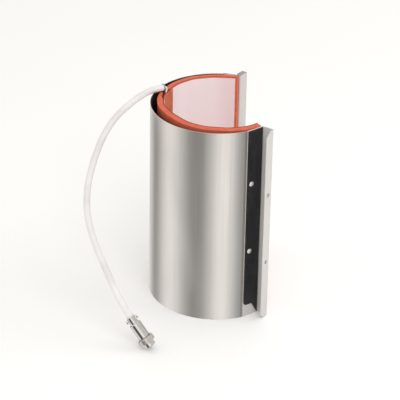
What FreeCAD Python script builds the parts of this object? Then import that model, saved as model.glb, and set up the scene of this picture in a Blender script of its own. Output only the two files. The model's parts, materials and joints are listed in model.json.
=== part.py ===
"""Removable heating wrap of a mug and tumbler heat press.

A springy stainless shell, bent to a C in plan, holds a lined silicone heating pad.
The shell stands on its bottom edge, with z = 0 on the surface that it stands on, and
the mouth of the C opens towards +X. Two hook rails run down the edges of the mouth,
where the press's clamp pulls them together. The front rail is on the -Y side and the
rear rail is its mirror image. A sleeved cable leaves the pad through a notch at the
top and ends in a four-contact aviation plug.
Every number below is measured from the shell's axis. The export moves the whole part
by SHELL_AXIS_X along X, which puts the origin under the middle of the shell and rails.
Lengths are in millimetres and angles in degrees.
"""

import FreeCAD, Part
import math
import os

V = FreeCAD.Vector

# Place of the shell's axis on the X axis
SHELL_AXIS_X = 14.0

# Shell
SHELL_HEIGHT = 230.0
SHELL_RADIUS = 74.0
SHELL_SHEET = 0.5
ARC_END = 77.0  # from +X, where the round of the shell gives way to the flats of its edge
EDGE_FOLD = (27.9, 66.4)  # plan corner between the two flats, at the shell's outside
EDGE_END = (35.3, 62.3)  # plan end of the shell, at its outside
LINING_SHEET = 1.0
LINING_END = 81.0
LINING_MARGIN = 0.4

# Pad, whose circle sits a little nearer the mouth than the shell's
PAD_SHIFT = 2.7
PAD_RADIUS = 69.0
PAD_TOP = 231.6
PAD_BOTTOM = 0.6
PAD_END = 62.6
SPONGE_BORE = 63.0
MAT_BACK_BORE = 62.3
ELEMENT_BORE = 62.1
MAT_FACE_BORE = 61.65
LINER_BORE = 61.0
LINER_MARGIN = 1.0
LINER_WINDOW_TO = 168.0

# Cable notch in the pad
NOTCH_FROM = 143.2
NOTCH_TO = 153.0
NOTCH_DEPTH = 44.0
MAT_NOTCH_DEPTH = 1.2
SLIT_RADIUS = 24.0
SLIT_BITE = 2.6
PATCH_FROM = 138.5
PATCH_TO = 158.0
PATCH_BOTTOM = 176.0
PATCH_SHEET = 0.25
PATCH_TOP = PAD_TOP - MAT_NOTCH_DEPTH - 0.5
PATCH_CORNER = (3.6, 7.0)  # degrees along and height of its cut top corner

# Heating element
TRACE_COUNT = 20
TRACE_GAP = 2.2
TRACE_LINK = 6.0
ELEMENT_BOTTOM = 12.0
ELEMENT_TOP = 218.0
ELEMENT_TOP_AT_PATCH = 186.0

# Edge hardware
RAIL_SHEET = 0.8
RAIL_START = 1.6
RAIL_ROOT = 1.0
RAIL_LEG = 12.9
RAIL_HOOK = 13.5
RAIL_LEG_ANGLE = 43.0
RAIL_BEND = 1.4
HOOK_HOLE_RADIUS = 2.5
HOOK_HOLE_HEIGHTS = (70.8, 153.8)
HOOK_CORNER = (7.0, 5.5)
BAR_SHEET = 1.2
BAR_SHORT = 0.35
BAR_BEND = 3.0
BAR_BOTTOM = 14.8
BAR_TIP = 0.6
BAR_CORNER = 4.2
RIVET_HEIGHTS = (83.0, 166.0)
RIVET_SHANK = 1.5
RIVET_HEAD = 2.9
RIVET_DOME = 1.3
RIVET_TAIL = 2.4
RIVET_TAIL_SHEET = 0.7

# Leads in the notch
LEAD_RADIUS = 0.9
LEAD_SPREAD = 1.3
LEAD_BOTTOM = 190.0
LEAD_ANGLES = (144.7, 150.5)
LEAD_RISE = 36.0
LEAD_REACH = 3.4
TAB_SHEET = 0.35
TAB_WIDTH = 2.6
SENSOR_ANGLE = 100.0
SENSOR_HEIGHT = 217.0
SENSOR_RADIUS = 1.4
SENSOR_LENGTH = 6.0
SENSOR_WIRE = 0.8

# Cable
CABLE_RADIUS = 3.65
CABLE_ROUTE = [
    (-54.5, 34.5, 235.5),
    (-66.5, 30.5, 236.0),
    (-79.0, 26.5, 232.5),
    (-95.0, 22.0, 223.5),
    (-112.0, 16.5, 210.5),
    (-126.0, 7.5, 193.0),
    (-137.5, -4.5, 171.0),
    (-146.5, -19.0, 147.5),
    (-149.5, -38.0, 123.0),
    (-143.0, -60.0, 97.5),
    (-131.5, -82.5, 72.0),
]
CABLE_STRAIGHT = 24.0  # the last stretch, in line with the plug
CLIP_WALL = 0.6
CLIP_LENGTH = 1.2
CLIP_ANGLE = 147.0
CLIP_TONGUE_WIDTH = 1.2
CLIP_TONGUE_SHEET = 0.75
CLIP_TAIL = (63.3, 65.9)
CLIP_TAIL_SHEET = 0.7
CLIP_TAIL_DROP = 18.0

# Plug, along its own axis from the front face
PLUG_TIP = V(-92.4, -121.0, 4.6)
PLUG_AXIS = V(-0.522, 0.360, 0.773)
PLUG_NOSE_RADIUS = 6.35
PLUG_NOSE_BORE = 5.3
PLUG_SPIGOT_RADIUS = 5.4
PLUG_NOSE_LENGTH = 12.6
PLUG_SPIGOT_END = 18.0
RING_FROM = 5.0
RING_TO = 11.2
RING_RADIUS = 9.2
RING_FIT = 0.06
RING_FLUTES = 30
KEEPER_SHEET = 0.7
KEEPER_RADIUS = 7.3
REAR_SHELL_RADIUS = 6.6
REAR_SHELL_BORE = 5.5
REAR_SHELL_END = 30.2
CLAMP_END = 38.2
CLAMP_RADIUS = 4.9
CLAMP_EAR = 7.6
CLAMP_EAR_DEPTH = 4.4
CLAMP_SPLIT = 0.5
CLAMP_SCREWS_AT = (-6.2, 6.2)
CLAMP_SCREW_UP = 4.5
CLAMP_SCREW_RADIUS = 0.9
SET_SCREW_AT = 15.3
SET_SCREW_RADIUS = 0.9
CONTACT_CIRCLE = 2.6
CONTACT_RADIUS = 0.9
INSERT_FRONT = 2.2
INSERT_END = 15.0

UP = V(0, 0, 1)


def polar(radius, angle, height=0.0):
    a = math.radians(angle)
    return V(radius * math.cos(a), radius * math.sin(a), height)


def prism(edges, height):
    return Part.Face(Part.Wire(edges)).extrude(UP * height)


def arc_edge(radius, start, end, height, shift=0.0):
    """An arc about the Z axis, or about a parallel axis shifted along X."""
    centre = V(shift, 0, 0)
    ends = [polar(radius, a, height) + centre for a in (start, (start + end) / 2, end)]
    return Part.Arc(*ends).toShape()


def line_edge(a, b):
    return Part.LineSegment(a, b).toShape()


def sector(outer, inner, start, end, bottom, top, shift=0.0):
    """A wall with round faces, between two angles and two heights."""
    centre = V(shift, 0, 0)
    outside = arc_edge(outer, start, end, bottom, shift)
    inside = arc_edge(inner, end, start, bottom, shift)
    first = line_edge(polar(inner, start, bottom) + centre, polar(outer, start, bottom) + centre)
    last = line_edge(polar(outer, end, bottom) + centre, polar(inner, end, bottom) + centre)
    return prism([outside, last, inside, first], top - bottom)


def left_of(direction):
    return V(-direction.y, direction.x, 0)


def offset_side(points, radius, side):
    """Edges of a polyline moved sideways, with its corners rounded."""
    edges = []
    steps = [(points[i + 1] - points[i]).normalize() for i in range(len(points) - 1)]
    last = points[0] + left_of(steps[0]) * side
    for i in range(1, len(points) - 1):
        before, after = steps[i - 1], steps[i]
        turn = math.atan2(before.cross(after).z, before.dot(after))
        reach = radius * math.tan(abs(turn) / 2)
        inward = left_of(before) * math.copysign(1, turn)
        middle = points[i] - before * reach + inward * radius
        start = points[i] - before * reach + left_of(before) * side
        end = points[i] + after * reach + left_of(after) * side
        outward = (points[i] - middle).normalize()
        crown = middle + outward * (radius - side * math.copysign(1, turn))
        edges.append(line_edge(last, start))
        edges.append(Part.Arc(start, crown, end).toShape())
        last = end
    edges.append(line_edge(last, points[-1] + left_of(steps[-1]) * side))
    return edges


def bent_sheet(points, radius, sheet, bottom, top):
    """A folded sheet whose middle line in plan is the polyline, with rounded bends."""
    base = [V(p.x, p.y, bottom) for p in points]
    one = offset_side(base, radius, sheet / 2)
    other = offset_side(base, radius, -sheet / 2)
    ends = [
        line_edge(one[0].Vertexes[0].Point, other[0].Vertexes[0].Point),
        line_edge(one[-1].Vertexes[-1].Point, other[-1].Vertexes[-1].Point),
    ]
    return prism(Part.__sortEdges__(one + other + ends), top - bottom)


def mirrored(shape):
    return shape.mirror(V(0, 0, 0), V(0, 1, 0))


def rod(foot, direction, radius, length):
    return Part.makeCylinder(radius, length, foot, direction)


def export(name, shapes):
    shape = shapes[0] if len(shapes) == 1 else Part.makeCompound(shapes)
    shape = shape.copy()
    shape.translate(V(SHELL_AXIS_X, 0, 0))
    if not shape.isValid() or shape.Volume <= 0:
        raise ValueError(name + " is not a valid solid")
    shape.exportStep(os.path.join("parts", name + ".step"))


# Front edge of the shell, in plan. The front side has negative y.
ARC_POINT = polar(SHELL_RADIUS, -ARC_END)
FOLD_POINT = V(EDGE_FOLD[0], -EDGE_FOLD[1], 0)
END_POINT = V(EDGE_END[0], -EDGE_END[1], 0)
FLAT = (FOLD_POINT - ARC_POINT).normalize()
END_FLAT = (END_POINT - FOLD_POINT).normalize()
OUTWARD = V(FLAT.y, -FLAT.x, 0)
END_OUTWARD = V(END_FLAT.y, -END_FLAT.x, 0)
FLAT_START = ARC_POINT + FLAT * RAIL_START
RIVET_POINT = (FLAT_START + FOLD_POINT) * 0.5
LEG = polar(1.0, -RAIL_LEG_ANGLE)
HOOK = V(LEG.y, -LEG.x, 0)


def edge_line(out):
    """The flats of the front edge in plan, moved outward by out."""
    bisector = (OUTWARD + END_OUTWARD).normalize()
    reach = out / bisector.dot(OUTWARD)
    return [FLAT_START + OUTWARD * out, FOLD_POINT + bisector * reach, END_POINT + END_OUTWARD * out]


def rivet_holes(radius):
    return [
        rod(RIVET_POINT + UP * z - OUTWARD * 5, OUTWARD, radius, 10) for z in RIVET_HEIGHTS
    ]


def shell():
    """The C of sheet steel: a round back with two flats at each edge."""
    inner_radius = SHELL_RADIUS - SHELL_SHEET
    inner_arc_end = polar(inner_radius, -ARC_END)
    bisector = (OUTWARD + END_OUTWARD).normalize()
    inner_fold = FOLD_POINT - bisector * (SHELL_SHEET / bisector.dot(OUTWARD))
    inner_end = END_POINT - END_OUTWARD * SHELL_SHEET
    front = [ARC_POINT, FOLD_POINT, END_POINT, inner_end, inner_fold, inner_arc_end]
    rear = [V(p.x, -p.y, 0) for p in front]
    edges = [line_edge(a, b) for a, b in zip(front, front[1:])]
    edges += [line_edge(a, b) for a, b in zip(rear, rear[1:])]
    edges.append(arc_edge(SHELL_RADIUS, ARC_END, 360 - ARC_END, 0))
    edges.append(arc_edge(inner_radius, ARC_END, 360 - ARC_END, 0))
    body = prism(Part.__sortEdges__(edges), SHELL_HEIGHT)
    holes = rivet_holes(RIVET_SHANK)
    return body.cut(holes + [mirrored(h) for h in holes])


def lining():
    outer = SHELL_RADIUS - SHELL_SHEET
    return sector(
        outer,
        outer - LINING_SHEET,
        LINING_END,
        360 - LINING_END,
        LINING_MARGIN,
        SHELL_HEIGHT - LINING_MARGIN,
    )


def pad_layer(outer, inner, bottom=PAD_BOTTOM, top=PAD_TOP):
    return sector(outer, inner, PAD_END, 360 - PAD_END, bottom, top, PAD_SHIFT)


def notch(depth, start=NOTCH_FROM, end=NOTCH_TO):
    """Space for the cable in the pad's top, through every layer."""
    return sector(PAD_RADIUS + 2, LINER_BORE - 2, start, end, PAD_TOP - depth, PAD_TOP + 1, PAD_SHIFT)


def sponge():
    """The soft outer layer, with the notch, a slit beside it and the sensor's pocket."""
    body = pad_layer(PAD_RADIUS, SPONGE_BORE)
    slit_axis = polar(SPONGE_BORE + SLIT_BITE - SLIT_RADIUS, NOTCH_TO + 2) + V(PAD_SHIFT, 0, 0)
    slit = Part.makeCylinder(SLIT_RADIUS, NOTCH_DEPTH, slit_axis + UP * (PAD_TOP - NOTCH_DEPTH + 1))
    groove = sector(
        SPONGE_BORE + 1.2,
        SPONGE_BORE - 1,
        SENSOR_ANGLE,
        NOTCH_FROM + 1,
        SENSOR_HEIGHT - 1.6,
        SENSOR_HEIGHT + 1.6,
        PAD_SHIFT,
    )
    pocket = Part.makeCylinder(SENSOR_RADIUS + 0.2, SENSOR_LENGTH + 1, sensor_foot() - UP * 0.5)
    return body.cut([notch(NOTCH_DEPTH), slit, groove, pocket])


def mat_back():
    return pad_layer(SPONGE_BORE, MAT_BACK_BORE).cut(notch(MAT_NOTCH_DEPTH))


def mat_face():
    return pad_layer(ELEMENT_BORE, MAT_FACE_BORE).cut(notch(MAT_NOTCH_DEPTH))


def element():
    """Etched foil between the two silicone sheets: one long track, up and down."""
    step = (360 - 2 * PAD_END - 2 * TRACE_GAP) / TRACE_COUNT
    tops = []
    for i in range(TRACE_COUNT):
        middle = PAD_END + TRACE_GAP + (i + 0.5) * step
        near_patch = PATCH_FROM - 1.5 * step < middle < PATCH_TO + 1.5 * step
        tops.append(ELEMENT_TOP_AT_PATCH if near_patch else ELEMENT_TOP)
    tracks = []
    for i in range(TRACE_COUNT):
        start = PAD_END + TRACE_GAP + i * step
        end = start + step - TRACE_GAP
        tracks.append(foil(start, end, ELEMENT_BOTTOM, tops[i]))
        if i + 1 < TRACE_COUNT:
            link_top = min(tops[i], tops[i + 1]) if i % 2 else ELEMENT_BOTTOM + TRACE_LINK
            tracks.append(foil(end - 0.2, end + TRACE_GAP + 0.2, link_top - TRACE_LINK, link_top))
    return tracks[0].multiFuse(tracks[1:]).removeSplitter()


def foil(start, end, bottom, top):
    return sector(MAT_BACK_BORE, ELEMENT_BORE, start, end, bottom, top, PAD_SHIFT)


def liner():
    body = pad_layer(MAT_FACE_BORE, LINER_BORE, LINER_MARGIN, PAD_TOP - LINER_MARGIN)
    window = notch(PAD_TOP - PATCH_BOTTOM, PATCH_FROM, LINER_WINDOW_TO)
    return body.cut(window)


def terminal_patch():
    body = sector(
        MAT_FACE_BORE,
        MAT_FACE_BORE - PATCH_SHEET,
        PATCH_FROM + 0.4,
        PATCH_TO - 0.4,
        PATCH_BOTTOM + 0.5,
        PATCH_TOP,
        PAD_SHIFT,
    )
    turn, drop = PATCH_CORNER
    middle = V(PAD_SHIFT, 0, 0)
    near = polar(LINER_BORE, PATCH_FROM + 0.4, PATCH_TOP) + middle
    far = polar(LINER_BORE, PATCH_FROM + 0.4 + turn, PATCH_TOP) + middle
    along = (near - far).normalize()
    inward = UP.cross(along)
    outline = [far + UP, far, near - UP * drop, near - UP * drop + along, near + along + UP]
    outline = [p - inward * 3 for p in outline]
    corner = Part.Face(Part.makePolygon(outline + [outline[0]])).extrude(inward * 6)
    return body.cut(corner)


def sensor_foot():
    place = polar(SPONGE_BORE + SENSOR_RADIUS, SENSOR_ANGLE) + V(PAD_SHIFT, 0, 0)
    return place + UP * (SENSOR_HEIGHT - SENSOR_LENGTH / 2)


def sensor():
    body = Part.makeCylinder(SENSOR_RADIUS, SENSOR_LENGTH, sensor_foot())
    return body.makeFillet(SENSOR_RADIUS * 0.6, [e for e in body.Edges if len(e.Vertexes) == 1])


def sensor_wires():
    outer, inner = SPONGE_BORE + SENSOR_WIRE, SPONGE_BORE
    start, end = SENSOR_ANGLE + 1.5, NOTCH_FROM + 0.4
    heights = (SENSOR_HEIGHT - 1.3, SENSOR_HEIGHT + 0.5)
    return [sector(outer, inner, start, end, z, z + SENSOR_WIRE, PAD_SHIFT) for z in heights]


def rounded_route(points, share=0.45):
    """Straight runs joined by tangent arcs, and the radius of each arc."""
    edges, radii = [], []
    last = points[0]
    for i in range(1, len(points) - 1):
        back, ahead = points[i - 1] - points[i], points[i + 1] - points[i]
        short = min(back.Length, ahead.Length)
        back.normalize()
        ahead.normalize()
        turn = math.pi - back.getAngle(ahead)
        radius = share * short / math.tan(turn / 2)
        start, end = points[i] + back * (share * short), points[i] + ahead * (share * short)
        middle = (back + ahead).normalize()
        crown = points[i] + middle * (radius / math.cos(turn / 2) - radius)
        edges += [line_edge(last, start), Part.Arc(start, crown, end).toShape()]
        radii.append(radius)
        last = end
    edges.append(line_edge(last, points[-1]))
    return Part.Wire(edges), radii


def tube(points, radius, name, share=0.45):
    """A round tube along a rounded route, checked against its section times its length."""
    path, radii = rounded_route(points, share)
    section = Part.Wire(Part.Circle(points[0], points[1] - points[0], radius).toShape())
    body = path.makePipeShell([section], True, True)
    expected = math.pi * radius**2 * path.Length
    print(name, "length", round(path.Length, 1), "radii", [round(r, 1) for r in radii])
    print(name, "volume over section times length", round(body.Volume / expected, 4))
    return body


def cable_end():
    return PLUG_TIP + plug_direction() * REAR_SHELL_END


def cable_points():
    straight = cable_end() + plug_direction() * CABLE_STRAIGHT
    return [V(*p) for p in CABLE_ROUTE] + [straight, cable_end()]


def plug_direction():
    return V(PLUG_AXIS).normalize()


def cable():
    return tube(cable_points(), CABLE_RADIUS, "cable")


def cable_start():
    start = V(*CABLE_ROUTE[0])
    return start, (V(*CABLE_ROUTE[1]) - start).normalize()


def heater_leads():
    """Two insulated wires from the mat's back, up the notch and into the sleeve."""
    start, along = cable_start()
    sideways = UP.cross(along).normalize()
    leads = []
    for side, angle in zip((-1, 1), LEAD_ANGLES):
        mouth = start + sideways * (side * LEAD_SPREAD)
        foot = polar(SPONGE_BORE + TAB_SHEET + LEAD_RADIUS, angle, LEAD_BOTTOM) + V(PAD_SHIFT, 0, 0)
        rise = foot + UP * LEAD_RISE
        turn = mouth - along * LEAD_REACH
        leads.append(tube([foot, rise, turn, mouth], LEAD_RADIUS, "lead"))
    return leads


def lead_joints():
    """Soldered tabs on the back of the mat, at the feet of the two heater leads."""
    outer, inner = SPONGE_BORE + TAB_SHEET, SPONGE_BORE
    bottom, top = LEAD_BOTTOM - 1.5, LEAD_BOTTOM + 7
    half = TAB_WIDTH / 2
    return [sector(outer, inner, a - half, a + half, bottom, top, PAD_SHIFT) for a in LEAD_ANGLES]


def upright_plate(start, end, sheet, bottom, top):
    """An upright plate between two plan points."""
    along = end - start
    plate = Part.makeBox(along.Length, sheet, top - bottom, V(0, -sheet / 2, bottom))
    plate.rotate(V(0, 0, 0), UP, math.degrees(math.atan2(along.y, along.x)))
    plate.translate(V(start.x, start.y, 0))
    return plate


def clip():
    """A crimped steel ring on the sleeve's mouth, with a tongue and a tail down the notch."""
    start, along = cable_start()
    bore = CABLE_RADIUS + 0.05
    ring = rod(start - along * 0.3, along, bore + CLIP_WALL, CLIP_LENGTH)
    ring = ring.cut(rod(start - along * 2, along, bore, CLIP_LENGTH + 4))
    top = start.z - CABLE_RADIUS - 0.1
    inner, outer = [polar(radius, CLIP_ANGLE) + V(PAD_SHIFT, 0, 0) for radius in CLIP_TAIL]
    tail = upright_plate(inner, outer, CLIP_TAIL_SHEET, top - CLIP_TAIL_DROP, top)
    under = V(start.x, start.y, 0) + along * 0.5
    bottom = top - CLIP_TONGUE_SHEET
    tongue = upright_plate((inner + outer) / 2, under, CLIP_TONGUE_WIDTH, bottom, top)
    return ring.fuse([tongue, tail]).removeSplitter()


def corner_prism(origin, along, through, outline):
    """A cutter through a plate, from an outline in the plate's own length and height."""
    points = [origin + along * s + UP * z - through * 3 for s, z in outline]
    return Part.Face(Part.makePolygon(points + [points[0]])).extrude(through * 6)


def rail():
    """The hook rail: a tab under the clamp bar, a leg out of the mouth and a hook."""
    half = RAIL_SHEET / 2
    line = edge_line(half)
    line[2] = line[2] + END_FLAT * RAIL_ROOT
    leg_end = line[2] + LEG * RAIL_LEG
    hook_end = leg_end + HOOK * RAIL_HOOK
    body = bent_sheet(line + [leg_end, hook_end], RAIL_BEND, RAIL_SHEET, 0, SHELL_HEIGHT)
    wide, tall = HOOK_CORNER
    top = [
        (RAIL_HOOK - wide, SHELL_HEIGHT + 1),
        (RAIL_HOOK - wide, SHELL_HEIGHT),
        (RAIL_HOOK + 1, SHELL_HEIGHT - tall * (wide + 1) / wide),
        (RAIL_HOOK + 1, SHELL_HEIGHT + 1),
    ]
    bottom = [(s, SHELL_HEIGHT - z) for s, z in top]
    cutters = [corner_prism(leg_end, HOOK, LEG, outline) for outline in (top, bottom)]
    middle = leg_end + HOOK * (RAIL_HOOK * 0.5)
    for z in HOOK_HOLE_HEIGHTS:
        cutters.append(rod(middle + UP * z - LEG * 4, LEG, HOOK_HOLE_RADIUS, 8))
    return body.cut(cutters + rivet_holes(RIVET_SHANK))


def clamp_bar():
    """The black bar over the rail's tab, folded like the shell's edge."""
    line = edge_line(RAIL_SHEET + BAR_SHEET / 2)
    line[2] = line[2] - END_FLAT * BAR_SHORT
    body = bent_sheet(line, BAR_BEND, BAR_SHEET, 0, SHELL_HEIGHT)
    flat = (line[1] - line[0]).Length
    end_flat = (line[2] - line[1]).Length
    under = [(-2, -1), (-2, BAR_BOTTOM), (flat + 0.4, BAR_BOTTOM), (flat + 0.4, -1)]
    slant = [(0, -1), (0, BAR_BOTTOM), (end_flat, BAR_TIP), (end_flat + 2, BAR_TIP), (end_flat + 2, -1)]
    body = body.cut(corner_prism(line[0], FLAT, OUTWARD, under))
    body = body.cut(corner_prism(line[1], END_FLAT, END_OUTWARD, slant))
    low, high = BAR_BOTTOM - 1, BAR_BOTTOM + BAR_CORNER
    square = [(-1, low), (-1, high), (BAR_CORNER, high), (BAR_CORNER, low)]
    corner = corner_prism(line[0], FLAT, OUTWARD, square)
    round_middle = line[0] + FLAT * BAR_CORNER + UP * high
    round_off = rod(round_middle - OUTWARD * 4, OUTWARD, BAR_CORNER, 8)
    return body.cut([corner.cut(round_off)] + rivet_holes(RIVET_SHANK))


def rivets():
    """Domed rivets through bar, tab and shell, set flat on the inside."""
    made = []
    stack = RAIL_SHEET + BAR_SHEET
    for z in RIVET_HEIGHTS:
        foot = RIVET_POINT + UP * z
        dome_radius = (RIVET_HEAD**2 + RIVET_DOME**2) / (2 * RIVET_DOME)
        seat = foot + OUTWARD * stack
        ball = Part.makeSphere(dome_radius, seat - OUTWARD * (dome_radius - RIVET_DOME))
        head = ball.common(rod(seat, OUTWARD, RIVET_HEAD + 1, RIVET_DOME + 1))
        shank = rod(foot - OUTWARD * SHELL_SHEET, OUTWARD, RIVET_SHANK, stack + SHELL_SHEET)
        tail_foot = foot - OUTWARD * (SHELL_SHEET + RIVET_TAIL_SHEET)
        tail = rod(tail_foot, OUTWARD, RIVET_TAIL, RIVET_TAIL_SHEET)
        made.append(head.fuse([shank, tail]).removeSplitter())
    return made


def placed(shapes):
    """Turns shapes made along +Z at the origin onto the plug's axis."""
    place = FreeCAD.Placement(PLUG_TIP, FreeCAD.Rotation(UP, plug_direction()))
    moved = []
    for shape in shapes:
        shape = shape.copy()
        shape.Placement = place.multiply(shape.Placement)
        moved.append(shape)
    return moved


def upright(radius, bottom, top, x=0.0, y=0.0):
    return Part.makeCylinder(radius, top - bottom, V(x, y, bottom))


def contact_places():
    middles = [polar(CONTACT_CIRCLE, 45 + 90 * i) for i in range(4)]
    return [(p.x, p.y) for p in middles]


def plug_nose():
    """The front shell with its keyway, and the spigot that the rear shell screws to."""
    body = upright(PLUG_NOSE_RADIUS, 0, PLUG_NOSE_LENGTH).fuse(
        upright(PLUG_SPIGOT_RADIUS, PLUG_NOSE_LENGTH, PLUG_SPIGOT_END)
    )
    rim = [e for e in body.Edges if abs(e.BoundBox.ZMax) < 1e-6]
    body = body.makeChamfer(0.5, rim)
    key = Part.makeBox(2.0, 1.6, INSERT_FRONT - 0.2, V(-1.0, PLUG_NOSE_BORE - 0.8, -0.1))
    stepped = upright(PLUG_NOSE_BORE - 0.9, INSERT_END, PLUG_SPIGOT_END + 1)
    return body.cut([stepped, upright(PLUG_NOSE_BORE, -1, INSERT_END), key])


def socket_insert():
    body = upright(PLUG_NOSE_BORE, INSERT_FRONT, INSERT_END)
    return body.cut([upright(CONTACT_RADIUS, -1, INSERT_END + 1, x, y) for x, y in contact_places()])


def socket_contacts():
    made = []
    for x, y in contact_places():
        body = upright(CONTACT_RADIUS, INSERT_FRONT, INSERT_END + 3, x, y)
        made.append(body.cut(upright(CONTACT_RADIUS * 0.6, INSERT_FRONT - 1, INSERT_FRONT + 8, x, y)))
    return made


def conductors():
    return [upright(0.6, INSERT_END + 3, REAR_SHELL_END, x, y) for x, y in contact_places()]


def coupling_ring():
    """The fluted ring that turns on the nose and holds the plug in its socket."""
    body = upright(RING_RADIUS, RING_FROM, RING_TO)
    edges = [e for e in body.Edges if len(e.Vertexes) == 1]
    body = body.makeChamfer(0.5, edges)
    cutters = [upright(PLUG_NOSE_RADIUS + RING_FIT, RING_FROM - 1, RING_TO + 1)]
    cutters.append(upright(PLUG_NOSE_RADIUS + 1.4, RING_FROM - 1, RING_FROM + 2.4))
    for i in range(RING_FLUTES):
        middle = polar(RING_RADIUS + 0.25, 360 * i / RING_FLUTES)
        cutters.append(upright(0.55, RING_FROM - 1, RING_TO + 1, middle.x, middle.y))
    return body.cut(cutters)


def keeper():
    """The split spring ring that keeps the coupling ring on the nose."""
    bottom = RING_TO + 0.3
    body = upright(KEEPER_RADIUS, bottom, bottom + KEEPER_SHEET)
    body = body.cut(upright(PLUG_NOSE_RADIUS, bottom - 1, bottom + 2))
    return body.cut(Part.makeBox(10, 1.6, 3, V(0, -0.8, bottom - 1)))


def rear_shell():
    """The long shell behind the ring, with half of the cable clamp cast on its end."""
    body = upright(REAR_SHELL_RADIUS, PLUG_NOSE_LENGTH, REAR_SHELL_END)
    rim = [e for e in body.Edges if abs(e.BoundBox.ZMin - REAR_SHELL_END) < 1e-6]
    body = body.makeChamfer(0.8, rim)
    thread = upright(PLUG_SPIGOT_RADIUS, PLUG_NOSE_LENGTH - 1, PLUG_SPIGOT_END)
    bore = upright(REAR_SHELL_BORE, PLUG_SPIGOT_END, REAR_SHELL_END - 2)
    mouth = upright(CONTACT_CIRCLE + 0.9, REAR_SHELL_END - 3, REAR_SHELL_END + 1)
    hole = rod(V(0, REAR_SHELL_RADIUS + 1, SET_SCREW_AT), V(0, -1, 0), SET_SCREW_RADIUS, 2.6)
    body = body.cut([thread, bore, mouth])
    return body.fuse(clamp_half(-1)).cut(hole).removeSplitter()


def clamp_half(side):
    """One half of the cable clamp; side is +1 for the loose saddle and -1 for the cast half."""
    body = upright(CLAMP_RADIUS, REAR_SHELL_END, CLAMP_END)
    corner = V(-CLAMP_EAR, -CLAMP_EAR_DEPTH / 2, REAR_SHELL_END + 2.4)
    ears = Part.makeBox(2 * CLAMP_EAR, CLAMP_EAR_DEPTH, 4.2, corner)
    body = body.fuse(ears)
    if side > 0:
        body = body.cut(upright(CLAMP_RADIUS + 9, REAR_SHELL_END - 1, REAR_SHELL_END + 1.2))
    near_face = CLAMP_SPLIT / 2 if side > 0 else -CLAMP_SPLIT / 2 - 15
    body = body.common(Part.makeBox(30, 15, 30, V(-15, near_face, REAR_SHELL_END - 1)))
    across = V(0, 1, 0)
    screw_z = REAR_SHELL_END + CLAMP_SCREW_UP
    cutters = [rod(V(x, -5, screw_z), across, CLAMP_SCREW_RADIUS, 10) for x in CLAMP_SCREWS_AT]
    cutters.append(upright(CABLE_RADIUS + 0.05, REAR_SHELL_END - 1, CLAMP_END + 1))
    return body.cut(cutters)


def clamp_screws():
    made = []
    across = V(0, 1, 0)
    for x in CLAMP_SCREWS_AT:
        foot = V(x, -CLAMP_EAR_DEPTH / 2, REAR_SHELL_END + CLAMP_SCREW_UP)
        shank = rod(foot, across, CLAMP_SCREW_RADIUS, CLAMP_EAR_DEPTH)
        head = rod(foot + across * CLAMP_EAR_DEPTH, across, 1.4, 1.3)
        slot = Part.makeBox(4, 0.7, 0.5, foot + V(-2, CLAMP_EAR_DEPTH + 0.85, -0.25))
        made.append(shank.fuse(head).cut(slot).removeSplitter())
    return made


def set_screw():
    outside = REAR_SHELL_RADIUS - 0.15
    depth = outside - PLUG_SPIGOT_RADIUS
    return rod(V(0, outside, SET_SCREW_AT), V(0, -1, 0), SET_SCREW_RADIUS, depth)


def main():
    os.makedirs("parts", exist_ok=True)
    front_rivets = rivets()
    export("outer_shell", [shell()])
    export("shell_lining", [lining()])
    export("sponge_pad", [sponge()])
    export("heater_mat_back", [mat_back()])
    export("heating_element", [element()])
    export("heater_mat_face", [mat_face()])
    export("release_liner", [liner()])
    export("terminal_patch", [terminal_patch()])
    export("temperature_sensor", [sensor()])
    export("sensor_wires", sensor_wires())
    export("heater_leads", heater_leads())
    export("lead_joints", lead_joints())
    export("cable_clip", [clip()])
    export("cable_sleeve", [cable()])
    export("front_rail", [rail()])
    export("rear_rail", [mirrored(rail())])
    export("front_clamp_bar", [clamp_bar()])
    export("rear_clamp_bar", [mirrored(clamp_bar())])
    export("front_rivets", front_rivets)
    export("rear_rivets", [mirrored(r) for r in front_rivets])
    export("plug_nose", placed([plug_nose()]))
    export("plug_socket_insert", placed([socket_insert()]))
    export("plug_contacts", placed(socket_contacts()))
    export("plug_conductors", placed(conductors()))
    export("plug_coupling_ring", placed([coupling_ring()]))
    export("plug_ring_keeper", placed([keeper()]))
    export("plug_rear_shell", placed([rear_shell()]))
    export("plug_set_screw", placed([set_screw()]))
    export("cable_clamp_saddle", placed([clamp_half(1)]))
    export("cable_clamp_screws", placed(clamp_screws()))


main()
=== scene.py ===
"""Looks of the heating wrap of a mug and tumbler heat press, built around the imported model.

Lengths are in metres. The row frame has +Z up, the mouth of the C towards +X and the
front rail on the -Y side. Angles are in degrees round the shell's axis, from +X.
"""

import json
import math

import bpy
import bmesh
from mathutils import Matrix, Vector


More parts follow.
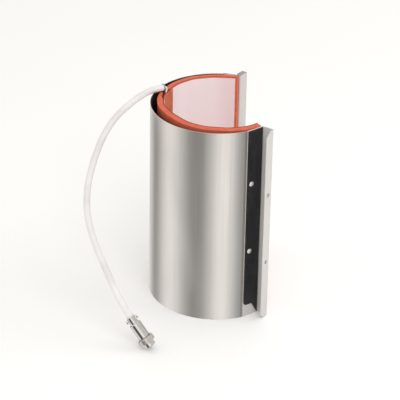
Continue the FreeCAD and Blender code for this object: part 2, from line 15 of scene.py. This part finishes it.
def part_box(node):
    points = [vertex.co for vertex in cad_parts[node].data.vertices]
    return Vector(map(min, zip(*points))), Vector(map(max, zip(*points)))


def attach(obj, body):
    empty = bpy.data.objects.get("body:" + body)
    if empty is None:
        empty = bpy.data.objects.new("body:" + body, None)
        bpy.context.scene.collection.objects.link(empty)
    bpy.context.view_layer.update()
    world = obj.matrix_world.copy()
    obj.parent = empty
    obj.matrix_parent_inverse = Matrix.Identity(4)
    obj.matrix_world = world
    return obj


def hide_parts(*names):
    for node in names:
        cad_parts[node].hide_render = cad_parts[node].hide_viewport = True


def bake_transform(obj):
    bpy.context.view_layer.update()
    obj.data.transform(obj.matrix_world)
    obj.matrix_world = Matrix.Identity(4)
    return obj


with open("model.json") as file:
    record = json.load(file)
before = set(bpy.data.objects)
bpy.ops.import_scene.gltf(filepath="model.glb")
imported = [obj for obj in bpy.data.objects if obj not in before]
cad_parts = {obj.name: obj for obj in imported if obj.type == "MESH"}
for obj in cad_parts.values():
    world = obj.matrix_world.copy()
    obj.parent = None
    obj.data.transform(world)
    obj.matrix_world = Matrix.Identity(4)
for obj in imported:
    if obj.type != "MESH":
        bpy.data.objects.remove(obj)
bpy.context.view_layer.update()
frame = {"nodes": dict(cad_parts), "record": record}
NODES = frame["nodes"]

MM = 0.001
AXIS_X = 0.014  # the shell's own axis, on the row's X axis
PAD_SHIFT = 0.0027  # the pad's axis sits this much nearer the mouth

# Shell
SHELL_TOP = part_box("outer_shell")[1].z
SHELL_RADIUS = AXIS_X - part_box("outer_shell")[0].x
SHELL_SHEET = 0.0005
ARC_END = 283.0
FOLD = (27.9 * MM, -66.4 * MM)
EDGE = (35.3 * MM, -62.3 * MM)
LINING_SHEET = 0.001
LINING_END = 279.0
LINING_GAP = 0.00003

# Pad
PAD_RADIUS = 0.069
SPONGE_BORE = 0.0630
BACK_BORE = 0.0623
FACE_OUTER = 0.0621
FACE_BORE = 0.06165
LINER_BORE = 0.061
PAD_END = 297.4
LINER_END = 295.5
PAD_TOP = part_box("sponge_pad")[1].z
PAD_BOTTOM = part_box("sponge_pad")[0].z
NOTCH = (143.2, 153.0)
NOTCH_FLOOR = PAD_TOP - 0.044
MAT_NOTCH_FLOOR = PAD_TOP - 0.0012
SLIT_RADIUS = 0.024
SLIT_BITE = 0.0026
SLIT_MIDDLE = NOTCH[1] + 2
SLIT_END = NOTCH[1] + 16
WINDOW = (138.5, 168.0)
WINDOW_FLOOR = 0.176
FILM_GAP = 0.00002
CUT_EASE = 0.0004  # how much lower the outside of the sponge's cut top lies

# The pad's top is uneven: heights in millimetres, places and widths in degrees
TOP_HUMPS = ((2.3, 197, 26), (0.5, 128, 22))
FRONT_SAG = (-1.1, 262, 9)
REAR_SAG = (-0.5, 82, 7)
TOP_RIPPLES = ((0.18, 7.3, 0), (0.12, 17.1, 40))  # height, waves per turn, start
RISE_DEPTH = 0.05  # how far down the wall the unevenness reaches
MIDDLE_ROW = 0.08  # one row of the pad's points lies at this height

# Columns of the bent layers
SEAM = 158.0  # where the front half meets the rear half
SEAM_STRIP = 0.2
COLUMN_STEP = 1.5
LINING_STEP = 2
FLAT_STEPS = (0.25, 0.5, 0.75, 1.0)
FLAT_TURN = 4  # each flat counts as this many degrees further round

# Cable, from the notch to the plug, measured from the shell's axis
CABLE_DIAMETER = 0.0073
CABLE_ROUTE = [
    (-0.0545, 0.0345, 0.2355),
    (-0.0665, 0.0305, 0.2360),
    (-0.0790, 0.0265, 0.2325),
    (-0.0950, 0.0220, 0.2235),
    (-0.1120, 0.0165, 0.2105),
    (-0.1260, 0.0075, 0.1930),
    (-0.1375, -0.0045, 0.1710),
    (-0.1465, -0.0190, 0.1475),
    (-0.1495, -0.0380, 0.1230),
    (-0.1430, -0.0600, 0.0975),
    (-0.1315, -0.0825, 0.0720),
    (-0.1207, -0.1015, 0.0465),
    (-0.1082, -0.1101, 0.0279),
]

# Camera
VIEW_AZIMUTH = 11.15
VIEW_ELEVATION = 28.83
VIEW_DISTANCE = 2.2
VIEW_LENS = 178.63
AIM_LEFT = 0.471
AIM_DOWN = 0.129
VIEW_ROLL = 1.30

# Studio
FLOOR_REACH = 3.0
FLOOR_DROP = 0.0002
FLOOR_GLOW = 0.10
LIGHT_AIM = (0.0, 0.0, 0.12)
STUDIO_TOP = (0.90, 0.885, 0.865)
BAND_WARMTH = (1, 0.985, 0.965)
DEEPEN_RANGE = (-0.44, -0.32, 1.0, 3.2)  # two heights of the sky, and the gamma at each
LIFT_RANGE = (-0.08, 0.06, 0.0, 0.7)  # two heights of the sky, and the share at each


# ---------------------------------------------------------------- materials


def new_material(name, color, roughness, metallic=0.0):
    """A material with its main shader's plain values set, and its node tree."""
    material = bpy.data.materials.new(name)
    material.use_nodes = True
    tree = material.node_tree
    shader = tree.nodes["Principled BSDF"]
    shader.inputs["Base Color"].default_value = (*color, 1)
    shader.inputs["Roughness"].default_value = roughness
    shader.inputs["Metallic"].default_value = metallic
    return material, tree, shader


def noise(tree, scale, stretch, detail):
    """A noise texture on the object's own coordinates, stretched along an axis."""
    place = tree.nodes.new("ShaderNodeTexCoord")
    mapping = tree.nodes.new("ShaderNodeMapping")
    mapping.inputs["Scale"].default_value = stretch
    texture = tree.nodes.new("ShaderNodeTexNoise")
    texture.inputs["Scale"].default_value = scale
    texture.inputs["Detail"].default_value = detail
    tree.links.new(place.outputs["Object"], mapping.inputs["Vector"])
    tree.links.new(mapping.outputs["Vector"], texture.inputs["Vector"])
    return texture.outputs["Fac"]


def ramp(tree, source, stops):
    """A colour ramp from (place, colour) stops."""
    node = tree.nodes.new("ShaderNodeValToRGB")
    elements = node.color_ramp.elements
    while len(elements) < len(stops):
        elements.new(0.5)
    for element, (place, color) in zip(elements, stops):
        element.position = place
        element.color = (*color, 1)
    tree.links.new(source, node.inputs["Fac"])
    return node.outputs["Color"]


def bump(tree, shader, height, strength, distance):
    """Fine relief in the shading, drawn from a height texture."""
    node = tree.nodes.new("ShaderNodeBump")
    node.inputs["Strength"].default_value = strength
    node.inputs["Distance"].default_value = distance
    tree.links.new(height, node.inputs["Height"])
    tree.links.new(node.outputs["Normal"], shader.inputs["Normal"])


def shades(color, spread):
    """A darker and a lighter shade of one colour."""
    return [tuple(min(1.0, c * k) for c in color) for k in (1 - spread, 1 + spread)]


def brushed_steel(name, color, roughness, grain=1.0, metallic=1.0):
    """Stainless sheet with a fine upright grain and a few soft smudges."""
    material, tree, shader = new_material(name, color, roughness, metallic)
    dark, light = shades(color, 0.05)
    smudge = noise(tree, 14, (1, 1, 0.35), 3)
    tree.links.new(ramp(tree, smudge, [(0.35, dark), (0.68, light)]), shader.inputs["Base Color"])
    lines = noise(tree, 900, (1, 1, 0.008), 2)
    gloss = ramp(tree, lines, [(0.3, (roughness * 0.82,) * 3), (0.7, (roughness * 1.2,) * 3)])
    tree.links.new(gloss, shader.inputs["Roughness"])
    bump(tree, shader, lines, 0.08 * grain, 0.0002)
    return material


def silicone(name, color, roughness, pores):
    """Silicone rubber: even colour with slight mottling, and fine pores where it is sponge."""
    material, tree, shader = new_material(name, color, roughness)
    shader.inputs["Specular IOR Level"].default_value = 0.3
    dark, light = shades(color, 0.1)
    mottle = noise(tree, 160, (1, 1, 1), 6)
    tree.links.new(ramp(tree, mottle, [(0.3, dark), (0.7, light)]), shader.inputs["Base Color"])
    scale, strength = (1500, 0.35) if pores else (500, 0.12)
    bump(tree, shader, noise(tree, scale, (1, 1, 1), 3), strength, 0.0003)
    return material


def release_film():
    """Pinkish release film, drawn a little uneven by the mat behind it."""
    material, tree, shader = new_material("release_film", (0.84, 0.70, 0.71), 0.34)
    shader.inputs["Specular IOR Level"].default_value = 0.45
    drift = noise(tree, 20, (1, 1, 0.12), 2)
    stops = [(0.32, (0.76, 0.60, 0.62)), (0.55, (0.85, 0.72, 0.73)), (0.75, (0.89, 0.79, 0.79))]
    tree.links.new(ramp(tree, drift, stops), shader.inputs["Base Color"])
    bump(tree, shader, noise(tree, 60, (1, 1, 0.2), 2), 0.12, 0.0006)
    return material


def black_paint():
    material, tree, shader = new_material("black_paint", (0.018, 0.018, 0.02), 0.32)
    wear = noise(tree, 120, (1, 1, 0.4), 5)
    stops = [(0.35, (0.013, 0.013, 0.015)), (0.7, (0.026, 0.026, 0.028))]
    tree.links.new(ramp(tree, wear, stops), shader.inputs["Base Color"])
    bump(tree, shader, noise(tree, 700, (1, 1, 1), 2), 0.08, 0.0002)
    return material


def black_lining():
    material, tree, shader = new_material("black_lining", (0.012, 0.011, 0.011), 0.9)
    fibres = noise(tree, 900, (1, 1, 0.5), 5)
    stops = [(0.3, (0.008, 0.008, 0.008)), (0.75, (0.03, 0.028, 0.027))]
    tree.links.new(ramp(tree, fibres, stops), shader.inputs["Base Color"])
    bump(tree, shader, fibres, 0.4, 0.0004)
    return material


def nickel(name, color, roughness):
    """Bright plating with a faint cloudiness."""
    material, tree, shader = new_material(name, color, roughness, 1.0)
    cloud = noise(tree, 400, (1, 1, 1), 4)
    dark, light = shades(color, 0.06)
    tree.links.new(ramp(tree, cloud, [(0.3, dark), (0.7, light)]), shader.inputs["Base Color"])
    gloss = ramp(tree, cloud, [(0.3, (roughness * 0.7,) * 3), (0.7, (roughness * 1.4,) * 3)])
    tree.links.new(gloss, shader.inputs["Roughness"])
    return material


def sleeving():
    """White coated glass sleeving, with its braid faintly showing."""
    material, tree, shader = new_material("cable_sleeving", (0.86, 0.84, 0.83), 0.55)
    shader.inputs["Specular IOR Level"].default_value = 0.35
    drift = noise(tree, 45, (1, 1, 1), 4)
    stops = [(0.3, (0.80, 0.77, 0.765)), (0.7, (0.90, 0.885, 0.88))]
    tree.links.new(ramp(tree, drift, stops), shader.inputs["Base Color"])
    bump(tree, shader, noise(tree, 1400, (1, 1, 1), 2), 0.25, 0.0003)
    return material


def plain(name, color, roughness, metallic=0.0):
    """A small part's material, with slight unevenness."""
    material, tree, shader = new_material(name, color, roughness, metallic)
    dark, light = shades(color, 0.08)
    cloud = noise(tree, 600, (1, 1, 1), 4)
    tree.links.new(ramp(tree, cloud, [(0.3, dark), (0.7, light)]), shader.inputs["Base Color"])
    bump(tree, shader, cloud, 0.08, 0.0002)
    return material


MATERIALS = {
    "shell_steel": brushed_steel("shell_steel", (0.82, 0.795, 0.765), 0.34),
    "rail_steel": brushed_steel("rail_steel", (0.72, 0.695, 0.675), 0.5, metallic=0.2),
    "clip_steel": brushed_steel("clip_steel", (0.50, 0.48, 0.47), 0.3),
    "screw_steel": brushed_steel("screw_steel", (0.36, 0.35, 0.34), 0.25),
    "element_foil": brushed_steel("element_foil", (0.6, 0.57, 0.52), 0.35),
    "silicone_sponge": silicone("silicone_sponge", (0.69, 0.14, 0.075), 0.62, True),
    "silicone_sheet": silicone("silicone_sheet", (0.66, 0.145, 0.08), 0.5, False),
    # painted shade: a darker silicone for the mat sheets' cut edges, standing in for the shade
    # along them
    "edge_shade": silicone("edge_shade", (0.30, 0.04, 0.016), 0.6, False),
    "silicone_patch": silicone("silicone_patch", (0.50, 0.115, 0.05), 0.5, False),
    "release_film": release_film(),
    "black_lining": black_lining(),
    "black_paint": black_paint(),
    "plug_chrome": nickel("plug_chrome", (0.80, 0.78, 0.75), 0.10),
    "cable_sleeving": sleeving(),
    "sensor_bead": plain("sensor_bead", (0.8, 0.78, 0.74), 0.5),
    "white_insulation": plain("white_insulation", (0.82, 0.80, 0.79), 0.45),
    "solder_tab": plain("solder_tab", (0.6, 0.58, 0.54), 0.35, 1.0),
    "rivet_metal": plain("rivet_metal", (0.80, 0.80, 0.79), 0.35, 0.5),
    "insert_plastic": plain("insert_plastic", (0.02, 0.02, 0.022), 0.45),
    "contact_brass": plain("contact_brass", (0.78, 0.72, 0.6), 0.22, 1.0),
    "conductor_copper": plain("conductor_copper", (0.72, 0.36, 0.22), 0.4, 1.0),
}
SLOTS = {part["node"]: part["material_slot"] for part in frame["record"]["subparts"]}


def finish_piece(piece, slot_name):
    """Gives the piece its one material, the one of its slot."""
    piece.data.materials.clear()
    piece.data.materials.append(MATERIALS[slot_name])


# ---------------------------------------------------------------- bent layers


def polar(radius, angle, shift):
    """A plan point at an angle round the shell's axis, or round the pad's with its shift."""
    a = math.radians(angle)
    return Vector((AXIS_X + shift + radius * math.cos(a), radius * math.sin(a), 0))


def spread(start, end, step):
    """Evenly spaced values from start to end, about step apart."""
    count = max(1, round(abs(end - start) / step))
    return [start + (end - start) * i / count for i in range(count + 1)]


def levels(*stops, step=0.012):
    """Heights from the first stop to the last and through each one, about step apart."""
    made = [stops[0]]
    for low, high in zip(stops, stops[1:]):
        made += spread(low, high, step)[1:]
    return made


def smooth(piece, sharp_angle=35):
    """Smooth shading that stops at the sheet's real edges."""
    mesh = piece.data
    work = bmesh.new()
    work.from_mesh(mesh)
    bmesh.ops.recalc_face_normals(work, faces=work.faces)
    for face in work.faces:
        face.smooth = True
    for edge in work.edges:
        sharp = len(edge.link_faces) == 2 and edge.calc_face_angle(0) > math.radians(sharp_angle)
        edge.smooth = not sharp
    work.to_mesh(mesh)
    work.free()


def wall(name, columns, heights, gone, lift, open_start=False, open_end=False):
    """A bent wall: columns of outer and inner plan points, by heights, less the cells gone.

    The cells' outsides and insides are joined wherever a cell has no neighbour, apart
    from an end that is left open because another piece carries on from it.
    """
    work = bmesh.new()
    sides = []
    for outer, inner, angle in columns:
        pair = []
        for plan, outside in ((outer, True), (inner, False)):
            row = [work.verts.new((plan.x, plan.y, lift(angle, z, outside))) for z in heights]
            pair.append(row)
        sides.append(pair)
    last_column, last_row = len(columns) - 1, len(heights) - 1

    def present(i, j):
        if not (0 <= i < last_column and 0 <= j < last_row):
            return False
        middle = (columns[i][2] + columns[i + 1][2]) / 2
        return not gone(middle, (heights[j] + heights[j + 1]) / 2)

    for i in range(last_column):
        for j in range(last_row):
            if not present(i, j):
                continue
            for side in (0, 1):
                a, b = sides[i][side], sides[i + 1][side]
                work.faces.new((a[j], b[j], b[j + 1], a[j + 1]))
            before = present(i - 1, j) or (open_start and i == 0)
            after = present(i + 1, j) or (open_end and i == last_column - 1)
            borders = (
                ((i, j), (i, j + 1), before),
                ((i + 1, j), (i + 1, j + 1), after),
                ((i, j), (i + 1, j), present(i, j - 1)),
                ((i, j + 1), (i + 1, j + 1), present(i, j + 1)),
            )
            for (c0, r0), (c1, r1), joined in borders:
                if joined:
                    continue
                corners = (sides[c0][0][r0], sides[c1][0][r1], sides[c1][1][r1], sides[c0][1][r0])
                work.faces.new(corners)
    stray = [v for v in work.verts if not v.link_faces]
    bmesh.ops.delete(work, geom=stray, context="VERTS")
    mesh = bpy.data.meshes.new(name)
    work.to_mesh(mesh)
    work.free()
    piece = bpy.data.objects.new(name, mesh)
    bpy.context.scene.collection.objects.link(piece)
    smooth(piece)
    return piece


def bend_with(piece, side):
    """Bakes the piece's placement into its mesh, the same way for either side."""
    if side == "front":
        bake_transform(piece)
    else:
        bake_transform(piece)


def arc_columns(outer, inner, angles, shift=0.0):
    """Columns of outer and inner plan points along an arc, each with its angle."""
    return [(polar(outer, a, shift), polar(inner, a, shift), a) for a in angles]


def from_seam(side, end, step):
    """Angles from the seam to an end given for the front side, which the rear mirrors."""
    near = SEAM + (SEAM_STRIP if side == "front" else -SEAM_STRIP)
    far = end if side == "front" else 360 - end
    return [SEAM, near] + spread(near, far, step)[1:]


def whole(angle, z):
    """No cell of the wall is gone."""
    return False


def as_drawn(angle, z, outside):
    """Every height stays as it is."""
    return z


def two_halves(node, columns_of, heights, gone=whole, lift=as_drawn):
    """A layer as a front and a rear half that meet at the seam, in place of its CAD node."""
    made = []
    for side in ("front", "rear"):
        columns = columns_of(side)
        first = abs(columns[0][2] - SEAM) < 1e-6
        piece = wall(f"{node}_{side}_half", columns, heights, gone, lift, first, not first)
        finish_piece(piece, SLOTS[node])
        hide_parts(node)
        bend_with(piece, side)
        made.append(piece)
    return made


def shell_columns(side):
    """Round of the shell from the seam, then the two flats of one edge."""
    mirror = 1 if side == "front" else -1
    angles = from_seam(side, ARC_END, COLUMN_STEP)
    columns = arc_columns(SHELL_RADIUS, SHELL_RADIUS - SHELL_SHEET, angles)
    start = Vector((columns[-1][0].x - AXIS_X, columns[-1][0].y * mirror))
    fold, edge = Vector(FOLD), Vector(EDGE)
    first, second = (fold - start).normalized(), (edge - fold).normalized()
    first_in, second_in = Vector((-first.y, first.x)), Vector((-second.y, second.x))
    bisector = (first_in + second_in).normalized()
    inner_fold = fold + bisector * (SHELL_SHEET / bisector.dot(first_in))
    inner_edge = edge + second_in * SHELL_SHEET
    inner_start = Vector((columns[-1][1].x - AXIS_X, columns[-1][1].y * mirror))
    last = columns[-1][2]
    flats = ((start, fold, inner_start, inner_fold), (fold, edge, inner_fold, inner_edge))
    for part, (a, b, c, d) in enumerate(flats):
        for t in FLAT_STEPS:
            ends = (a.lerp(b, t), c.lerp(d, t))
            outer, inner = (Vector((AXIS_X + p.x, p.y * mirror, 0)) for p in ends)
            columns.append((outer, inner, last + mirror * (part + t) * FLAT_TURN))
    return columns


def lining_columns(side):
    outer = SHELL_RADIUS - SHELL_SHEET - LINING_GAP
    return arc_columns(outer, outer - LINING_SHEET, from_seam(side, LINING_END, LINING_STEP))


def pad_columns(outer, inner, end=PAD_END):
    """Columns of one of the pad's layers, with some on the sides of the notch and the window."""
    def columns_of(side):
        if side == "front":
            angles = from_seam(side, end, COLUMN_STEP)
        else:
            angles = from_seam(side, 360 - NOTCH[1], COLUMN_STEP)
            angles += spread(NOTCH[1], NOTCH[0], COLUMN_STEP)[1:]
            angles += spread(WINDOW[0], 360 - end, COLUMN_STEP)
        return arc_columns(outer, inner, angles, PAD_SHIFT)

    return columns_of


def pad_rise(angle):
    """How far the pad's top stands above its drawn height: it creeps up beside the notch."""
    humps = sum(h * math.exp(-(((angle - at) / width) ** 2)) for h, at, width in TOP_HUMPS)
    height, at, width = FRONT_SAG
    front_end = height / (1 + math.exp((at - angle) / width))
    height, at, width = REAR_SAG
    rear_end = height / (1 + math.exp((angle - at) / width))
    ripple = sum(h * math.sin(math.radians(angle * rate + start)) for h, rate, start in TOP_RIPPLES)
    return (humps + front_end + rear_end + ripple) * MM


def pad_lift(angle, z, outside):
    """Heights with the top's unevenness, which fades out well down the wall."""
    share = max(0.0, (z - (PAD_TOP - RISE_DEPTH)) / RISE_DEPTH)
    return z + pad_rise(angle) * share**2


def sponge_lift(angle, z, outside):
    """The sponge's cut top is eased down a little at its outside."""
    drop = CUT_EASE if outside and z > PAD_TOP - 1e-6 else 0.0
    return pad_lift(angle, z, outside) - drop


def in_notch(floor):
    return lambda angle, z: NOTCH[0] < angle < NOTCH[1] and z > floor


def in_window(angle, z):
    return WINDOW[0] < angle < WINDOW[1] and z > WINDOW_FLOOR


def build_layers():
    two_halves("outer_shell", shell_columns, levels(0.0, SHELL_TOP, step=0.02))
    low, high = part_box("shell_lining")
    two_halves("shell_lining", lining_columns, levels(low.z, high.z, step=0.03))

    pad_levels = levels(PAD_BOTTOM, MIDDLE_ROW, NOTCH_FLOOR, MAT_NOTCH_FLOOR, PAD_TOP, step=0.006)
    sponge = pad_columns(PAD_RADIUS, SPONGE_BORE)
    for half in two_halves("sponge_pad", sponge, pad_levels, in_notch(NOTCH_FLOOR), sponge_lift):
        open_slit(half)
    mat_gone = in_notch(MAT_NOTCH_FLOOR)
    back = pad_columns(SPONGE_BORE, BACK_BORE)
    face = pad_columns(FACE_OUTER, FACE_BORE)
    for node, columns_of in (("heater_mat_back", back), ("heater_mat_face", face)):
        for half in two_halves(node, columns_of, pad_levels, mat_gone, pad_lift):
            paint_edge_shade(half)

    low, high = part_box("release_liner")
    liner_levels = levels(low.z, WINDOW_FLOOR, high.z, step=0.01)
    liner_columns = pad_columns(FACE_BORE - FILM_GAP, LINER_BORE, LINER_END)
    two_halves("release_liner", liner_columns, liner_levels, in_window, pad_lift)


def paint_edge_shade(sheet):
    """The sheet's cut edges, level or upright, get a darker material: painted shade along its
    edges.
    """
    sheet.data.materials.append(MATERIALS["edge_shade"])
    for polygon in sheet.data.polygons:
        outward = Vector((polygon.center.x - AXIS_X - PAD_SHIFT, polygon.center.y, 0)).normalized()
        if abs(polygon.normal.dot(outward)) < 0.5:
            polygon.material_index = 1


def open_slit(sponge):
    """Draws the sponge away from the mat beside the notch, where the leads are tucked in."""
    near = SPONGE_BORE + SLIT_BITE - SLIT_RADIUS
    for vertex in sponge.data.vertices:
        place = Vector((vertex.co.x - AXIS_X - PAD_SHIFT, vertex.co.y))
        angle = math.degrees(math.atan2(place.y, place.x)) % 360
        beside = NOTCH[1] - 0.01 < angle < SLIT_END
        on_bore = place.length <= SPONGE_BORE + 0.5 * MM
        above_floor = vertex.co.z >= NOTCH_FLOOR + 1 * MM
        if not (beside and on_bore and above_floor):
            continue
        turn = math.radians(angle - SLIT_MIDDLE)
        radius = near * math.cos(turn) + math.sqrt(SLIT_RADIUS**2 - (near * math.sin(turn)) ** 2)
        place *= max(1.0, radius / place.length)
        vertex.co.x, vertex.co.y = place.x + AXIS_X + PAD_SHIFT, place.y


def split_copy(node):
    """Two halves of a hidden CAD layer, cut at the seam, in place of the node."""
    for side in ("front", "rear"):
        mesh = NODES[node].data.copy()
        piece = bpy.data.objects.new(f"{node}_{side}_half", mesh)
        bpy.context.scene.collection.objects.link(piece)
        work = bmesh.new()
        work.from_mesh(mesh)
        drop = []
        for face in work.faces:
            middle = face.calc_center_median()
            angle = math.degrees(math.atan2(middle.y, middle.x - AXIS_X - PAD_SHIFT)) % 360
            if (angle > SEAM) != (side == "front"):
                drop.append(face)
        bmesh.ops.delete(work, geom=drop, context="FACES")
        work.to_mesh(mesh)
        work.free()
        finish_piece(piece, SLOTS[node])
        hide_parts(node)
        bend_with(piece, side)


def bending_copy(node, side):
    """A copy of a small CAD node in place of the node, with its placement baked in."""
    piece = bpy.data.objects.new(f"{node}_copy", NODES[node].data.copy())
    bpy.context.scene.collection.objects.link(piece)
    finish_piece(piece, SLOTS[node])
    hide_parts(node)
    bend_with(piece, side)


# ---------------------------------------------------------------- cable


def build_cable():
    """The sleeved cable as one cord, parented to the wrap, in place of the CAD cable."""
    curve = bpy.data.curves.new("cable_sleeve_line", "CURVE")
    curve.dimensions = "3D"
    curve.bevel_depth = CABLE_DIAMETER / 2
    curve.bevel_resolution = 8
    curve.resolution_u = 24
    curve.use_fill_caps = True
    spline = curve.splines.new("NURBS")
    spline.points.add(len(CABLE_ROUTE) - 1)
    for point, (x, y, z) in zip(spline.points, CABLE_ROUTE):
        point.co = (x + AXIS_X, y, z, 1)
    spline.order_u = 3
    spline.use_endpoint_u = True
    cable = bpy.data.objects.new("cable_sleeve_line", curve)
    bpy.context.scene.collection.objects.link(cable)
    finish_piece(cable, "cable_sleeving")
    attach(cable, "wrap")
    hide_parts("cable_sleeve")
    x, y, z = CABLE_ROUTE[0]


# ---------------------------------------------------------------- studio


def build_floor():
    """A white floor that glows a little and doesn't show in reflections."""
    mesh = bpy.data.meshes.new("floor")
    signs = ((-1, -1), (1, -1), (1, 1), (-1, 1))
    corners = [(x * FLOOR_REACH, y * FLOOR_REACH, 0) for x, y in signs]
    mesh.from_pydata(corners, [], [(0, 1, 2, 3)])
    floor = bpy.data.objects.new("floor", mesh)
    bpy.context.scene.collection.objects.link(floor)
    floor.location.z = -FLOOR_DROP
    material, tree, shader = new_material("floor_white", (0.93, 0.93, 0.925), 0.9)
    shader.inputs["Specular IOR Level"].default_value = 0.0
    drift = noise(tree, 3, (1, 1, 1), 2)
    stops = [(0.3, (0.925, 0.925, 0.92)), (0.7, (0.94, 0.94, 0.935))]
    tree.links.new(ramp(tree, drift, stops), shader.inputs["Base Color"])
    shader.inputs["Emission Color"].default_value = (1, 1, 1, 1)
    shader.inputs["Emission Strength"].default_value = FLOOR_GLOW
    mesh.materials.append(material)
    floor.visible_glossy = False


def build_world():
    """Studio surroundings: soft white panels with grey gaps, deeper higher up, and a pale top."""
    world = bpy.data.worlds.new("studio")
    bpy.context.scene.world = world
    world.use_nodes = True
    tree = world.node_tree
    background = tree.nodes["Background"]
    place = tree.nodes.new("ShaderNodeTexCoord")
    split = tree.nodes.new("ShaderNodeSeparateXYZ")
    turn = tree.nodes.new("ShaderNodeMath")
    turn.operation = "ARCTAN2"
    share = tree.nodes.new("ShaderNodeMath")
    share.operation = "MULTIPLY_ADD"
    share.inputs[1].default_value = 1 / (2 * math.pi)
    share.inputs[2].default_value = 0.5
    tree.links.new(place.outputs["Generated"], split.inputs["Vector"])
    tree.links.new(split.outputs["Y"], turn.inputs[0])
    tree.links.new(split.outputs["X"], turn.inputs[1])
    tree.links.new(turn.outputs["Value"], share.inputs[0])
    stops = [(at, tuple(tone * k for k in BAND_WARMTH)) for at, tone in WORLD_BANDS]
    bands = ramp(tree, share.outputs["Value"], stops)
    deepen = tree.nodes.new("ShaderNodeGamma")
    tree.links.new(bands, deepen.inputs["Color"])
    tree.links.new(height_range(tree, split, DEEPEN_RANGE), deepen.inputs["Gamma"])
    lift = tree.nodes.new("ShaderNodeMixRGB")
    lift.inputs["Color2"].default_value = (*STUDIO_TOP, 1)
    tree.links.new(deepen.outputs["Color"], lift.inputs["Color1"])
    tree.links.new(height_range(tree, split, LIFT_RANGE), lift.inputs["Fac"])
    tree.links.new(lift.outputs["Color"], background.inputs["Color"])
    background.inputs["Strength"].default_value = 1.0


def height_range(tree, split, values):
    """A value that runs from one to another between two heights of the sky."""
    node = tree.nodes.new("ShaderNodeMapRange")
    for socket, value in zip(("From Min", "From Max", "To Min", "To Max"), values):
        node.inputs[socket].default_value = value
    tree.links.new(split.outputs["Z"], node.inputs["Value"])
    return node.outputs["Result"]


def band_place(from_camera):
    """A direction round the studio, from the camera's own side, as a share of a turn."""
    a = math.radians(VIEW_AZIMUTH)
    toward_camera = math.degrees(math.atan2(-math.cos(a), -math.sin(a)))
    return ((toward_camera + from_camera) / 360 + 0.5) % 1.0


# Tones of the panels and gaps by their direction from the camera's side, in degrees. They
# are set so that the shell's bands come near those in the photograph.
WORLD_BANDS = sorted(
    (band_place(direction), tone)
    for direction, tone in (
        (-170, 1.0),
        (-146, 0.95),
        (-132, 0.22),
        (-124, 0.22),
        (-108, 0.72),
        (-92, 1.06),
        (-76, 1.02),
        (-58, 0.62),
        (-42, 0.32),
        (-26, 0.30),
        (-10, 0.72),
        (6, 1.08),
        (22, 1.04),
        (38, 0.48),
        (52, 0.28),
        (98, 0.28),
        (118, 0.95),
        (140, 0.85),
    )
)


def add_light(name, where, size, power):
    """A square area light aimed at the wrap, which doesn't show in reflections."""
    lamp = bpy.data.lights.new(name, "AREA")
    lamp.shape = "SQUARE"
    lamp.size = size
    lamp.energy = power
    light = bpy.data.objects.new(name, lamp)
    light.location = where
    light.rotation_euler = (Vector(LIGHT_AIM) - Vector(where)).to_track_quat("-Z", "Y").to_euler()
    bpy.context.scene.collection.objects.link(light)
    light.visible_glossy = False


def build_camera():
    """The photograph's view: aimed a little beside the shell's middle, and rolled a little."""
    a, e = math.radians(VIEW_AZIMUTH), math.radians(VIEW_ELEVATION)
    forward = Vector((math.sin(a) * math.cos(e), math.cos(a) * math.cos(e), -math.sin(e)))
    right = Vector((math.cos(a), -math.sin(a), 0))
    up = right.cross(forward)
    base = Matrix((right, up, -forward)).transposed()
    turned = base
    for angle, axis in ((AIM_LEFT, "Y"), (-AIM_DOWN, "X"), (VIEW_ROLL, "Z")):
        turned = turned @ Matrix.Rotation(math.radians(angle), 3, axis)
    data = bpy.data.cameras.new("camera")
    data.lens = VIEW_LENS
    data.sensor_width = 36
    camera = bpy.data.objects.new("camera", data)
    camera.matrix_world = turned.to_4x4()
    camera.location = Vector((AXIS_X, 0, SHELL_TOP / 2)) - forward * VIEW_DISTANCE
    bpy.context.scene.collection.objects.link(camera)
    bpy.context.scene.camera = camera


for node_name, node in NODES.items():
    finish_piece(node, SLOTS[node_name])
build_layers()
split_copy("heating_element")
bending_copy("sensor_wires", "rear")
bending_copy("temperature_sensor", "rear")
build_cable()
build_floor()
build_world()
add_light("key", (0.1, -1.5, 1.9), 1.4, 13)
add_light("fill", (1.8, -0.3, 1.2), 1.6, 9.5)
build_camera()
bpy.context.scene.view_settings.view_transform = "Standard"
